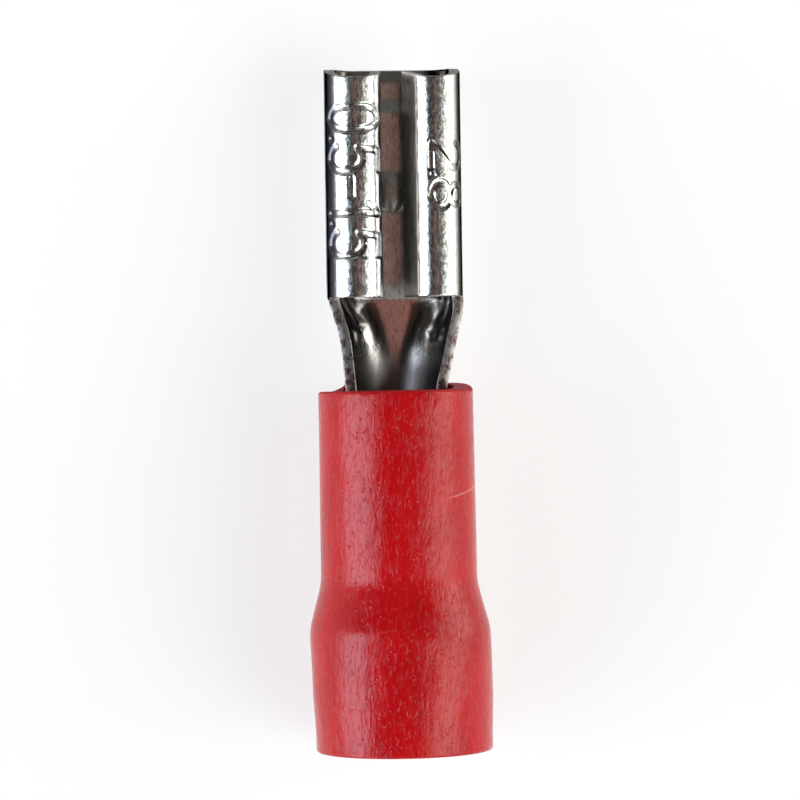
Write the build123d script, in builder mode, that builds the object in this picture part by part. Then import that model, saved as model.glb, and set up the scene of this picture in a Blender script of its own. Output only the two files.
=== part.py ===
# Insulated female spade terminal, in millimetres.
#
# Three pieces make it: a tin-plated contact that is stamped and folded from one strip, a
# thin drawn sleeve pressed over the contact's wire barrel, and a soft vinyl sleeve over
# both. The terminal lies along Y as it rests on a table, with the receptacle for the tab
# towards +Y and the mouth for the wire towards -Y. The origin is on the table, under the
# middle of its length.

from build123d import *

import math
import os

# Strip that the contact is stamped from
sheet = 0.30

# Receptacle that slides over the tab
receptacle_length = 6.40
receptacle_width = 3.80
receptacle_height = 1.60
receptacle_corner = 0.55
roll_gap = 0.92
roll_outer_bend = 0.87
tab_slot_height = 0.45
roll_setback = 0.30
roll_bevel_from_floor = 0.45

# Coined lead-in at the front of the floor
lead_in_length = 0.80
lead_in_ramp = 0.45
lead_in_depth = 0.08
lead_in_bevel_length = 0.32
lead_in_bevel_depth = 0.10

# Detent dimple that snaps into the hole of the tab
dimple_from_nose = 3.37
dimple_length = 1.30
dimple_width = 0.90
dimple_height = 0.15
dimple_slope = 0.28

# Open neck between the receptacle and the wire barrel
neck_length = 2.60
neck_fold_length = 0.42
neck_drop = 0.09
throat_floor = 1.14
throat_bend = 1.29
throat_wall = 1.05
waist_from_receptacle = 1.30
waist_floor = 0.44
waist_bend = 1.36
waist_wall = 1.20
barrel_floor = 0.04
wall_lip = 0.05

# Wire barrel
barrel_radius = 1.375
barrel_inset = 0.35
barrel_length = 5.00
barrel_front_corner = 0.25
seam_gap = 0.05
serration_count = 3
serration_pitch = 1.10
serration_width = 0.30
serration_depth = 0.06
barrel_mouth_chamfer = 0.10

# Drawn sleeve, pressed over the barrel and flared for the insulation of the wire
press_clearance = 0.02
drawn_wall = 0.20
drawn_front_inset = 0.45
drawn_rear_inset = 0.50
drawn_flare_radius = 1.92
drawn_flare_start = 5.35
drawn_flare_length = 1.15
drawn_bend = 1.50

# Soft vinyl sleeve
vinyl_clearance = 0.02
vinyl_length = 10.00
vinyl_mouth_radius = 2.15
vinyl_waist_radius = 2.18
vinyl_bell_radius = 2.50
vinyl_rear_radius = 2.45
vinyl_shoulder_start = 5.30
vinyl_shoulder_length = 1.30
vinyl_rear_taper = 1.60
vinyl_shoulder_bend = 3.00
vinyl_rim_radius = 0.12
vinyl_rest_depth = 0.045

# Places that follow from the sizes above
overall_length = receptacle_length + neck_length + vinyl_length
nose_y = overall_length / 2
receptacle_end_y = nose_y - receptacle_length
vinyl_front_y = receptacle_end_y - neck_length
vinyl_rear_y = vinyl_front_y - vinyl_length
barrel_front_y = vinyl_front_y - barrel_inset
barrel_rear_y = barrel_front_y - barrel_length
axis_z = vinyl_bell_radius
barrel_bottom_z = axis_z - barrel_radius
floor_z = barrel_bottom_z + neck_drop
floor_top_z = floor_z + sheet
roll_inner_bend = (receptacle_width - roll_gap) / 2 - roll_outer_bend
barrel_bore = barrel_radius - sheet
drawn_radius = barrel_radius + press_clearance + drawn_wall

os.makedirs("parts", exist_ok=True)


def across(y, z):
    """Plane across the terminal at y, facing the wire, with its origin z above the table."""
    return Plane(origin=(0, y, z), x_dir=(1, 0, 0), z_dir=(0, -1, 0))


def channel(y, z, floor, bend, wall, lip):
    """Section of the strip as an open channel: a flat floor, two round bends and, past the
    height where the bends are cut off or have turned upright, two straight lips."""
    with BuildSketch(across(y, z)) as section:
        with BuildLine():
            turn = math.degrees(math.acos(1 - min(wall / bend, 1)))
            Line((0, 0), (floor / 2, 0))
            rise = CenterArc((floor / 2, bend), bend, 270, turn)
            Line(rise @ 1, rise @ 1 + (rise % 1) * lip)
            mirror(about=Plane.YZ)
            offset(amount=sheet, side=Side.LEFT)
        make_face()
    return section.sketch.face()


def dimple(z):
    """Long round-ended swelling of the floor, whose foot lies z above the table."""
    foot = Plane.XY.offset(z)
    place = Locations((0, nose_y - dimple_from_nose))
    with BuildPart() as swelling:
        with BuildSketch(foot):
            with place:
                SlotOverall(dimple_length, dimple_width, rotation=90)
        with BuildSketch(foot.offset(dimple_height)):
            with place:
                SlotOverall(dimple_length - 2 * dimple_slope, dimple_width - 2 * dimple_slope, rotation=90)
        loft()
        crown = swelling.edges().group_by(Axis.Z)[-1]
        fillet(crown, dimple_height)
    return swelling.part


# Contact: receptacle, neck and wire barrel in one strip of sheet
with BuildPart() as contact:
    # Floor, side walls and rolls, bent from the strip
    with BuildSketch(across(nose_y, floor_z)):
        with BuildLine():
            half = receptacle_width / 2
            crest_x = half - roll_outer_bend
            floor = Line((0, 0), (half - receptacle_corner, 0))
            CenterArc(floor @ 1 + (0, receptacle_corner), receptacle_corner, 270, 90)
            Line((half, receptacle_corner), (half, receptacle_height - roll_outer_bend))
            CenterArc((crest_x, receptacle_height - roll_outer_bend), roll_outer_bend, 0, 90)
            curl = CenterArc((crest_x, receptacle_height - roll_inner_bend), roll_inner_bend, 90, 90)
            Line(curl @ 1, (roll_gap / 2, sheet + tab_slot_height))
            mirror(about=Plane.YZ)
            offset(amount=sheet, side=Side.LEFT)
        make_face()
    extrude(amount=receptacle_length)

    # Walls and rolls lean back from the front edge of the floor
    with BuildSketch(Plane.YZ):
        with BuildLine():
            Polyline(
                (nose_y, floor_z + roll_bevel_from_floor),
                (nose_y - roll_setback, floor_z + receptacle_height),
                (nose_y + roll_setback, floor_z + receptacle_height),
                (nose_y + roll_setback, floor_z + roll_bevel_from_floor),
                close=True,
            )
        make_face()
    extrude(amount=receptacle_width, both=True, mode=Mode.SUBTRACT)

    # Coined lead-in for the tab, with a bevelled front edge
    with BuildSketch(Plane.YZ):
        with BuildLine():
            Polyline(
                (nose_y - lead_in_length - lead_in_ramp, floor_top_z),
                (nose_y - lead_in_length, floor_top_z - lead_in_depth),
                (nose_y - lead_in_bevel_length, floor_top_z - lead_in_depth),
                (nose_y, floor_top_z - lead_in_depth - lead_in_bevel_depth),
                (nose_y, floor_top_z),
                close=True,
            )
        make_face()
    extrude(amount=receptacle_width / 2 - receptacle_corner, both=True, mode=Mode.SUBTRACT)

    # Detent, pushed up out of the floor from below
    add(dimple(floor_top_z))
    add(dimple(floor_z), mode=Mode.SUBTRACT)

    # Relief under the ends of the rolls, where the fold of the neck starts
    fold_y = receptacle_end_y + neck_fold_length
    with BuildSketch(Plane.YZ):
        with BuildLine():
            Polyline(
                (fold_y, floor_z),
                (fold_y, floor_z + receptacle_corner),
                (receptacle_end_y, floor_z + throat_wall - neck_drop),
                (receptacle_end_y, floor_z),
                close=True,
            )
        make_face()
    extrude(amount=receptacle_width, both=True, mode=Mode.SUBTRACT)

    # Fold from the flat floor of the receptacle down to the round throat of the neck
    fold_lip = throat_wall - receptacle_corner
    box_end = channel(fold_y, floor_z, receptacle_width - 2 * receptacle_corner,
                      receptacle_corner, receptacle_corner, fold_lip)
    throat = channel(receptacle_end_y, barrel_bottom_z, throat_floor, throat_bend, throat_wall, wall_lip)
    loft([box_end, throat])

    # Neck, which closes in to the half round of the barrel
    waist = channel(receptacle_end_y - waist_from_receptacle, barrel_bottom_z,
                    waist_floor, waist_bend, waist_wall, wall_lip)
    trough = channel(vinyl_front_y, barrel_bottom_z, barrel_floor, barrel_radius, barrel_radius, wall_lip)
    loft([throat, waist, trough])

    # Barrel, rolled round until its edges meet in a seam on top
    with BuildSketch(across(vinyl_front_y, axis_z)):
        Circle(barrel_radius)
        Circle(barrel_bore, mode=Mode.SUBTRACT)
        with Locations((0, barrel_radius)):
            Rectangle(seam_gap, barrel_radius, mode=Mode.SUBTRACT)
    extrude(amount=vinyl_front_y - barrel_rear_y)
    with BuildSketch(Plane.YZ) as mouth_cut:
        with Locations((vinyl_front_y, axis_z)):
            Rectangle(2 * barrel_inset, 2 * barrel_radius, align=(Align.CENTER, Align.MIN))
        fillet(mouth_cut.vertices().group_by(Axis.Z)[0].sort_by(Axis.Y)[0], barrel_front_corner)
    extrude(amount=receptacle_width, both=True, mode=Mode.SUBTRACT)

    # Serrations that bite the strands, and the eased rear edge that they enter by
    first_serration_y = (barrel_front_y + barrel_rear_y) / 2 - (serration_count - 1) / 2 * serration_pitch
    for index in range(serration_count):
        with Locations((0, first_serration_y + index * serration_pitch, axis_z)):
            Cylinder(barrel_bore + serration_depth, serration_width, rotation=(90, 0, 0), mode=Mode.SUBTRACT)
    mouth = contact.edges().filter_by(GeomType.CIRCLE).group_by(Axis.Y)[0].sort_by(SortBy.LENGTH)[0]
    chamfer(mouth, barrel_mouth_chamfer)
contact.part.label = "contact"
export_step(contact.part, "parts/contact.step")


def sleeve_bore(front_y, rear_y):
    """Bore of the drawn sleeve in the YZ plane: straight on the barrel, then the flare."""
    barrel_z = axis_z + barrel_radius + press_clearance
    flare_z = axis_z + drawn_flare_radius - drawn_wall
    flare_y = vinyl_front_y - drawn_flare_start
    return FilletPolyline(
        (front_y, barrel_z),
        (flare_y, barrel_z),
        (flare_y - drawn_flare_length, flare_z),
        (rear_y, flare_z),
        radius=drawn_bend,
    )


# Drawn sleeve, a thin tube of one wall thickness throughout
sleeve_axis = Axis((0, 0, axis_z), (0, 1, 0))
with BuildPart() as support_sleeve:
    with BuildSketch(Plane.YZ):
        with BuildLine():
            sleeve_bore(vinyl_front_y - drawn_front_inset, vinyl_rear_y + drawn_rear_inset)
            offset(amount=drawn_wall, side=Side.RIGHT)
        make_face()
    revolve(axis=sleeve_axis)
support_sleeve.part.label = "support_sleeve"
export_step(support_sleeve.part, "parts/support_sleeve.step")

# Vinyl sleeve, moulded to the drawn sleeve inside and stepped outside
with BuildPart() as insulating_sleeve:
    with BuildSketch(Plane.YZ):
        with BuildLine():
            with BuildLine(mode=Mode.PRIVATE) as bore:
                sleeve_bore(vinyl_front_y, vinyl_rear_y)
                offset(amount=drawn_wall + vinyl_clearance, side=Side.RIGHT, closed=False, mode=Mode.REPLACE)
            add(bore.line)
            shoulder_y = vinyl_front_y - vinyl_shoulder_start
            skin = FilletPolyline(
                (vinyl_front_y, axis_z + vinyl_mouth_radius),
                (shoulder_y, axis_z + vinyl_waist_radius),
                (shoulder_y - vinyl_shoulder_length, axis_z + vinyl_bell_radius),
                (vinyl_rear_y + vinyl_rear_taper, axis_z + vinyl_bell_radius),
                (vinyl_rear_y, axis_z + vinyl_rear_radius),
                radius=vinyl_shoulder_bend,
            )
            Line(bore.line @ 0, skin @ 0)
            Line(bore.line @ 1, skin @ 1)
        make_face()
    revolve(axis=sleeve_axis)

    # Rounded outer edge at each end, limited by the wall there
    bell_bore = drawn_flare_radius + vinyl_clearance
    rims = insulating_sleeve.edges().filter_by(GeomType.CIRCLE).group_by(Axis.Y)
    for rim, wall in (
        (rims[0], vinyl_rear_radius - bell_bore),
        (rims[-1], vinyl_mouth_radius - drawn_radius - vinyl_clearance),
    ):
        fillet(rim.sort_by(SortBy.LENGTH)[-1], min(vinyl_rim_radius, 0.45 * wall))

    # Shallow flats set in the soft vinyl underneath, where bell and mouth rest on the table
    bell_front_y = shoulder_y - vinyl_shoulder_length
    mouth_bottom_z = axis_z - vinyl_mouth_radius
    rest_slope = mouth_bottom_z / (vinyl_front_y - bell_front_y)
    with BuildSketch(Plane.YZ):
        with BuildLine():
            Polyline(
                (vinyl_rear_y, rest_slope * (vinyl_rear_y - bell_front_y) + vinyl_rest_depth),
                (vinyl_front_y, mouth_bottom_z + vinyl_rest_depth),
                (vinyl_front_y, mouth_bottom_z - axis_z),
                (vinyl_rear_y, mouth_bottom_z - axis_z),
                close=True,
            )
        make_face()
    extrude(amount=vinyl_bell_radius, both=True, mode=Mode.SUBTRACT)
insulating_sleeve.part.label = "insulating_sleeve"
export_step(insulating_sleeve.part, "parts/insulating_sleeve.step")
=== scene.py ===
# %% [markdown]
# # Female spade terminal with a red vinyl sleeve
#
# The real terminal is a strip of tin-plated brass, stamped flat and then folded round a
# tab, with a thin brass sleeve and a red vinyl sleeve pressed over its wire barrel. The
# frame already holds these three pieces at their real size. This script makes a finer
# piece in the place of each one, gives each its finish, and sets up a small studio. The
# frame is loaded first, because every place below is measured from it, and everything is
# deselected, because an operator acts on all that is selected.

import math

import bpy
import numpy as np
from mathutils import Matrix, Vector, noise


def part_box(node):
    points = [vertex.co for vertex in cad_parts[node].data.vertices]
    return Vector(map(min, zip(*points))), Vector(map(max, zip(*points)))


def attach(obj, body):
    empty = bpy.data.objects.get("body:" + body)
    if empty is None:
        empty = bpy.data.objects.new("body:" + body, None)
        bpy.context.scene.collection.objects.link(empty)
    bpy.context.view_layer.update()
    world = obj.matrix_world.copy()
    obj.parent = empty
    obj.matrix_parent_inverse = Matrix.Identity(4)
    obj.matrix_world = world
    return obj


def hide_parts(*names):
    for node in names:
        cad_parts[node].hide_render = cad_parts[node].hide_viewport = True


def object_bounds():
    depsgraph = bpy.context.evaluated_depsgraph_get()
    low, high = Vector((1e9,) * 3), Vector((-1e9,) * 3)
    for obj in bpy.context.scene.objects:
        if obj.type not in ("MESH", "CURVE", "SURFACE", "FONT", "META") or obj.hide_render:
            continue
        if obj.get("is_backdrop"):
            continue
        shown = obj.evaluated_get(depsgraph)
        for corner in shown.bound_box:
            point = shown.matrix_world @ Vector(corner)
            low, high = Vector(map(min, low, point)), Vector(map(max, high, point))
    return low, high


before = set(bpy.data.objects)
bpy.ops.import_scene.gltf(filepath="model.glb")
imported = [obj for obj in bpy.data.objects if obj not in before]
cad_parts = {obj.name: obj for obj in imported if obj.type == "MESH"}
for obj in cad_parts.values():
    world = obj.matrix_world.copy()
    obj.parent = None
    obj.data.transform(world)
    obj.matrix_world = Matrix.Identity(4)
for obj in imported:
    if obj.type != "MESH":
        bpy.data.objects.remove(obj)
cad_low, cad_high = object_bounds()
bpy.ops.object.select_all(action="DESELECT")
print("nodes in the frame:", sorted(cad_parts))

# %% [markdown]
# ## Places that the frame gives
#
# The terminal lies along Y with the nose of its receptacle towards +Y. Lengths along the
# strip are counted from that nose, as a die maker would count them, so one small function
# turns such a length into a place in the frame.

# %% Read the places from the frame
mm = 0.001
contact_low, contact_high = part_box("contact")
vinyl_low, vinyl_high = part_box("insulating_sleeve")
drawn_low, drawn_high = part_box("support_sleeve")
nose_y = contact_high.y
barrel_bottom_z = contact_low.z
axis_z = (vinyl_low.z + vinyl_high.z) / 2
barrel_end = nose_y - contact_low.y
print("nose at", round(nose_y / mm, 2), "mm, sleeve axis", round(axis_z / mm, 2), "mm above the table")

# %% [markdown]
# ## Outlines of the folded strip
#
# Seen from the end, the strip is a row of straight runs and round bends. Each outline is
# written as such a list, from the middle of the floor outwards, because a list of bends is
# how the strip is really folded and it keeps every bend a true arc. A radius of 0 means a
# straight run. One function walks along an outline and says where it gets to and which
# way it faces there.

# %% Sizes of the strip
sheet = 0.30 * mm
receptacle_width = 3.80 * mm
receptacle_height = 1.60 * mm
receptacle_corner = 0.55 * mm
roll_outer_bend = 0.82 * mm
roll_inner_bend = {-1: 0.746 * mm, 1: 0.60 * mm}
edge_slant = {-1: 0.0, 1: math.radians(29)}
tab_slot_height = 0.45 * mm
quarter = math.pi / 2
outer_radius = axis_z - barrel_bottom_z
print("sheet", round(sheet / mm, 2), "mm, receptacle", round(receptacle_width / mm, 2), "mm wide")

# %% Walk along an outline


def channel(floor, bend, wall, lip):
    """Outline of an open channel: half its floor, a bend as high as the wall, and a straight lip."""
    turn = math.acos(1 - min(wall / bend, 1))
    return [(floor / 2, 0), (bend * turn, bend), (lip, 0)]


def walk(outline, reach):
    """Where a walk of that reach along an outline gets to: across, up, and the heading."""
    across, up, heading = 0.0, 0.0, 0.0
    for length, radius in outline:
        step = min(reach, length)
        if radius:
            turn = step / radius
            across += radius * (math.sin(heading + turn) - math.sin(heading))
            up -= radius * (math.cos(heading + turn) - math.cos(heading))
            heading += turn
        else:
            across += step * math.cos(heading)
            up += step * math.sin(heading)
        reach -= step
    return np.array((across, up, heading))


def length_of(outline):
    """How long an outline is, from the middle of the floor to its edge."""
    return sum(length for length, radius in outline)


def curled(inner_bend, slant):
    """Outline of half the receptacle, whose free edge hangs down at a slant towards the middle."""
    drop = receptacle_height - sheet - tab_slot_height - inner_bend * (1 - math.sin(slant))
    return [
        (receptacle_width / 2 - receptacle_corner, 0),
        (receptacle_corner * quarter, receptacle_corner),
        (receptacle_height - roll_outer_bend - receptacle_corner, 0),
        (roll_outer_bend * quarter, roll_outer_bend),
        (inner_bend * (quarter - slant), inner_bend),
        (drop / math.cos(slant), 0),
    ]


# %% Outlines of the contact
receptacle = {side: curled(roll_inner_bend[side], edge_slant[side]) for side in (-1, 1)}
corner_lip = 0.50 * mm
fold_start = channel(
    receptacle_width - 2 * receptacle_corner, receptacle_corner, receptacle_corner, corner_lip)
trough_floor, trough_lip = 0.04 * mm, 0.18 * mm
trough = channel(trough_floor, outer_radius, outer_radius, trough_lip)
seam_gap = 0.05 * mm
barrel = [(math.pi * outer_radius - seam_gap / 2, outer_radius)]
strip_half = max(length_of(outline) for outline in receptacle.values())
wall_top = length_of(fold_start)
crest = length_of(receptacle[1][:4])
print("flat strip, half width:", round(strip_half / mm, 3), "mm; crest of the roll at", round(crest / mm, 3))

# %% [markdown]
# ## The flat blank
#
# The strip starts as a flat blank, cut from a grid. The grid's lines are pulled close
# together where the strip gets bends or stamped figures and left wide apart elsewhere, so
# the faces go where the shape needs them. Each stretch below says where it ends and about
# how long its steps are.

# %% Stations along and across the blank
receptacle_length = 6.40 * mm
fold_length = 0.42 * mm
neck_length = 2.60 * mm
open_end_length = 0.35 * mm
barrel_start = receptacle_length + neck_length + open_end_length
field_start, field_end = 1.04 * mm, 5.32 * mm
field_margin = 0.05 * mm
lead_in_length, lead_in_ramp = 0.80 * mm, 0.45 * mm
lead_in_depth, bevel_depth, bevel_length = 0.08 * mm, 0.10 * mm, 0.32 * mm
groove_width, groove_depth, groove_pitch = 0.30 * mm, 0.06 * mm, 1.10 * mm
groove_edge = 0.01 * mm


def stations(start, *stretches):
    """Places from start on, for stretches that each say where they end and about how long a step is."""
    places = [start]
    for end, step in stretches:
        count = max(1, round((end - places[-1]) / step))
        places += list(np.linspace(places[-1], end, count + 1)[1:])
    return places


groove_middle = (barrel_start + barrel_end) / 2
grooves = [groove_middle + index * groove_pitch for index in (-1, 0, 1)]
along = stations(
    0,
    (0.06 * mm, 0.06 * mm),
    (bevel_length, 0.07 * mm),
    (lead_in_length, 0.12 * mm),
    (field_start - field_margin, 0.10 * mm),
    (field_end + field_margin, 0.033 * mm),
    (receptacle_length - fold_length, 0.10 * mm),
    (receptacle_length, 0.06 * mm),
    (receptacle_length + neck_length, 0.09 * mm),
    (barrel_start, 0.07 * mm),
)
for middle in grooves:
    for side in (middle - groove_width / 2, middle + groove_width / 2):
        flat, step = (side - groove_edge, 0.22 * mm), (side + groove_edge, 2 * groove_edge)
        along += stations(along[-1], flat, step)[1:]
along += stations(along[-1], (barrel_end - 0.10 * mm, 0.25 * mm), (barrel_end, 0.10 * mm))[1:]
half_across = stations(
    0,
    (0.55 * mm, 0.07 * mm),
    (receptacle_width / 2 - receptacle_corner, 0.16 * mm),
    (wall_top - 0.48 * mm, 0.09 * mm),
    (wall_top, 0.08 * mm),
    (crest + 0.80 * mm, 0.035 * mm),
    (strip_half, 0.06 * mm),
)
across_strip = [-place for place in half_across[:0:-1]] + half_across
print(len(along), "lines along by", len(across_strip), "lines across")

# %% [markdown]
# ## Cutting the blank
#
# A new grid has even steps, so its points are first moved onto the stations. Beside the
# neck the die cuts the strip narrow: the faces there are picked by their place and deleted
# in edit mode, as one would do by hand. Each point's place on the flat blank is noted,
# because every later step is told by it.

# %% Cut the blank
columns, rows = len(across_strip) - 1, len(along) - 1
bpy.ops.mesh.primitive_grid_add(x_subdivisions=columns, y_subdivisions=rows, size=2)
contact = bpy.context.object
contact.name = "folded_contact"
for vertex in contact.data.vertices:
    column = round((vertex.co.x + 1) / 2 * columns)
    row = round((1 - vertex.co.y) / 2 * rows)
    vertex.co = (across_strip[column], -along[row], 0)

bpy.ops.object.mode_set(mode="EDIT")
bpy.ops.mesh.select_all(action="DESELECT")
bpy.ops.mesh.select_mode(type="FACE")
bpy.ops.object.mode_set(mode="OBJECT")
for face in contact.data.polygons:
    beside_neck = receptacle_length < -face.center.y < barrel_start
    face.select = beside_neck and abs(face.center.x) > wall_top
bpy.ops.object.mode_set(mode="EDIT")
bpy.ops.mesh.delete(type="FACE")
bpy.ops.mesh.select_all(action="SELECT")
bpy.ops.mesh.flip_normals()
bpy.ops.object.mode_set(mode="OBJECT")
blank = np.array([(vertex.co.x, -vertex.co.y) for vertex in contact.data.vertices])
print("blank:", len(contact.data.polygons), "faces")

# %% [markdown]
# ## Folding the blank
#
# Blender's bend tool needs a window, and one bend after another would pile up errors, so
# the fold is done as a rule for each point of the blank: how far it lies from the middle
# of the strip says how far to walk along the outline there. The receptacle keeps one
# outline over its whole length, and its end turns in a little to meet the neck. The neck
# runs through six sections, from a dished channel to a round trough, with the creases
# between them blurred, and then opens into the barrel. The left roll is curled right down,
# and the free edge of the right one still hangs at a slant.

# %% Sections of the neck
neck_drop = 0.09 * mm
dish_turn = math.radians(20)
least_lip = 0.02 * mm


def dish(half_width, flat, first_bend, turn, height):
    """Outline of the neck: half its flat floor, a wide shallow bend, and a tighter one up to the edge."""
    turn = math.radians(turn)
    across = half_width - flat - first_bend * math.sin(dish_turn)
    bend = across / (math.sin(turn) - math.sin(dish_turn))
    rise = first_bend * (1 - math.cos(dish_turn)) + bend * (math.cos(dish_turn) - math.cos(turn))
    return [
        (flat, 0),
        (first_bend * dish_turn, first_bend),
        (bend * (turn - dish_turn), bend),
        (max(height - rise, least_lip) / math.sin(turn), 0),
    ]


neck_sections = [
    (receptacle_length, dish(1.89 * mm, 0.60 * mm, 2.10 * mm, 90, 1.13 * mm)),
    (receptacle_length + 0.40 * mm, dish(1.85 * mm, 0.48 * mm, 2.00 * mm, 84, 1.12 * mm)),
    (receptacle_length + 1.05 * mm, dish(1.66 * mm, 0.16 * mm, 1.53 * mm, 78, 1.20 * mm)),
    (receptacle_length + 1.50 * mm, dish(1.56 * mm, 0.06 * mm, 1.50 * mm, 78, 1.34 * mm)),
    (receptacle_length + 2.00 * mm, dish(1.48 * mm, 0.03 * mm, 1.44 * mm, 82, 1.48 * mm)),
    (receptacle_length + neck_length, trough),
]
print("neck:", len(neck_sections), "sections")

# %% The rule for folding
blur = 0.24 * mm
turn_in_fades, turn_in_ends = 1.85 * mm, 2.35 * mm
roll_setback, setback_reach = 0.30 * mm, 0.90 * mm
bevel_from_floor = 0.45 * mm
floor_z = barrel_bottom_z + neck_drop
aside_at_neck, less_in_front, more_at_nose = 0.14 * mm, 0.045 * mm, 0.03 * mm
tiny = 1e-9


def smooth(value, low, high):
    """Rises gently from 0 at low to 1 at high."""
    share = np.clip((value - low) / (high - low), 0, 1)
    return share * share * (3 - 2 * share)


def section(outline, bottom, share):
    """A point of an outline, and its outward direction, at a share of the outline's length."""
    across, up, heading = walk(outline, share * length_of(outline))
    return np.array((across, bottom + up, math.sin(heading), -math.cos(heading)))


def between_sections(share, station):
    """The same for the neck, straight from one of its sections to the next."""
    station = np.clip(station, neck_sections[0][0], neck_sections[-1][0])
    for (start, first), (end, second) in zip(neck_sections, neck_sections[1:]):
        if station <= end:
            part = (station - start) / (end - start)
            before = section(first, barrel_bottom_z, share)
            after = section(second, barrel_bottom_z, share)
            return (1 - part) * before + part * after


def neck(share, station):
    """The neck with its creases blurred."""
    return sum(between_sections(share, station + shift) for shift in (-blur, 0, blur)) / 3


def roll(reach, side):
    """A point of the receptacle, whose two rolls have lengths of their own past the crest."""
    outline = receptacle[side]
    whole = length_of(outline)
    if reach > crest:
        reach = crest + (reach - crest) * (whole - crest) / (strip_half - crest)
    return section(outline, floor_z, reach / whole)


def fold(reach, station, side):
    """Across, up and outward direction of a point of the blank, mirrored onto the right side."""
    if station <= receptacle_length + tiny:
        point = roll(reach, side)
        turn_in = np.clip((station - receptacle_length + fold_length) / fold_length, 0, 1)
        share = min(reach / wall_top, 1)
        shift = neck(share, receptacle_length) - roll(share * wall_top, side)
        ease = 1 - smooth(reach, turn_in_fades, turn_in_ends)
        return point + shift * turn_in * ease
    if station <= barrel_start - tiny:
        return neck(min(reach / wall_top, 1), station)
    half_round = length_of(trough) / length_of(barrel)
    if reach <= wall_top:
        return section(barrel, barrel_bottom_z, reach / wall_top * half_round)
    rest = (reach - wall_top) / (strip_half - wall_top)
    return section(barrel, barrel_bottom_z, half_round + rest * (1 - half_round))


def bent_aside(station):
    """How far the strip is bent to the right: most at the neck, and not at all in the sleeve."""
    at_neck = aside_at_neck * (1 - smooth(station, 7.2 * mm, 9.4 * mm))
    in_front = less_in_front * (1 - smooth(station, 6.35 * mm, 7.0 * mm))
    at_nose = more_at_nose * np.clip(1 - station / receptacle_length, 0, 1)
    return at_neck - in_front + at_nose


print("edge of the trough:", round(length_of(trough) / mm, 3), "mm from its middle")

# %% [markdown]
# ## The folded strip
#
# The rule is applied to each point of the blank. The nose is cut back a little towards its
# top, and the whole front is bent about a tenth of a millimetre to one side, as on the real
# part. Each point also keeps the direction that faces out of the strip, which the stamping
# needs later.

# %% Fold every point
outward = np.empty((len(blank), 3))
for vertex, (place, station) in zip(contact.data.vertices, blank):
    side = -1 if place < 0 else 1
    x, z, out_x, out_z = fold(abs(place), station, side)
    setback = roll_setback * np.clip(
        (z - floor_z - bevel_from_floor) / (receptacle_height - bevel_from_floor), 0, 1)
    aside = bent_aside(station)
    if station < setback_reach:
        station = setback + station * (setback_reach - setback) / setback_reach
    vertex.co = (side * x + aside, nose_y - station, z)
    size = math.hypot(out_x, out_z)
    outward[vertex.index] = side * out_x / size, 0, out_z / size
contact.data.update()
widest = max(vertex.co.x for vertex in contact.data.vertices)
print("folded, widest point", round(widest / mm, 3), "mm from the middle")

# %% [markdown]
# ## Detent
#
# The detent that snaps into the tab is pushed up from below, so it moves both sides of the
# floor and is made before the strip gets its thickness. It is a small wedge that rises away
# from the nose, so that the tab slides up it and drops in behind.

# %% Push up the detent
detent_from_nose, detent_length, detent_width = 3.37 * mm, 1.30 * mm, 0.90 * mm
detent_height, detent_slope = 0.13 * mm, 0.36 * mm
detent_axis = (detent_length - detent_width) / 2
for vertex, (place, station) in zip(contact.data.vertices, blank):
    behind_front = station - detent_from_nose + detent_length / 2
    beyond = max(abs(station - detent_from_nose) - detent_axis, 0)
    from_axis = math.hypot(place, beyond)
    rise = detent_height * np.clip(behind_front / (detent_length - detent_slope), 0, 1)
    vertex.co.z += rise * (1 - smooth(from_axis, detent_width / 2 - detent_slope, detent_width / 2))
print("detent", round(detent_height / mm, 2), "mm high,", round(detent_from_nose / mm, 2), "mm back")

# %% [markdown]
# ## Wall thickness
#
# The bevelled nose, the coined lead-in, the serrations in the barrel and the chamfer of its
# mouth only make the strip thinner from the inside. Solidify can do that: a vertex group
# says how much of the full thickness each point keeps. The rim that Solidify closes gets
# the second material, because a sheared edge has no tin on it.

# %% Thickness kept at each point
thickness = contact.vertex_groups.new(name="thickness")
mouth_chamfer = 0.10 * mm
coin_fades, coin_ends = 1.20 * mm, 1.50 * mm
thinnest = 1.0
for index, (place, station) in enumerate(blank):
    coin = lead_in_depth * (1 - smooth(station, lead_in_length, lead_in_length + lead_in_ramp))
    coin += bevel_depth * (1 - np.clip(station / bevel_length, 0, 1))
    coin *= 1 - smooth(abs(place), coin_fades, coin_ends)
    in_groove = any(abs(station - middle) < groove_width / 2 for middle in grooves)
    at_mouth = station > barrel_end - 0.001 * mm
    loss = max(coin, groove_depth * in_groove, mouth_chamfer * at_mouth)
    thickness.add([index], 1 - loss / sheet, "REPLACE")
    thinnest = min(thinnest, 1 - loss / sheet)
print("thinnest wall:", round(thinnest * sheet / mm, 3), "mm")

# %% Give the strip its thickness
for slot_name in ("tin_plate", "sheared_edge"):
    contact.data.materials.append(bpy.data.materials.new(slot_name))
wall = contact.modifiers.new("wall", "SOLIDIFY")
wall.thickness = sheet
wall.offset = -1
wall.vertex_group = "thickness"
wall.use_quality_normals = True
wall.material_offset_rim = 1
bpy.ops.object.modifier_apply(modifier=wall.name)
print("strip with its thickness:", len(contact.data.polygons), "faces")

# %% [markdown]
# ## Stamped figures
#
# The press marks the rolls with plain numbers. Each figure is a set of strokes drawn on a
# field of one unit by one unit, with its round parts worked out as arcs. Letters from a
# font would have to be cut into the thin sheet, while strokes can be pressed into points
# that are already there.

# %% Strokes of the figures


def arc(middle_x, middle_y, radius_x, radius_y, start, end, count=14):
    """Points on part of an ellipse, from one angle to another in degrees."""
    angles = np.radians(np.linspace(start, end, count))
    return [(middle_x + radius_x * math.cos(a), middle_y + radius_y * math.sin(a)) for a in angles]


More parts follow.
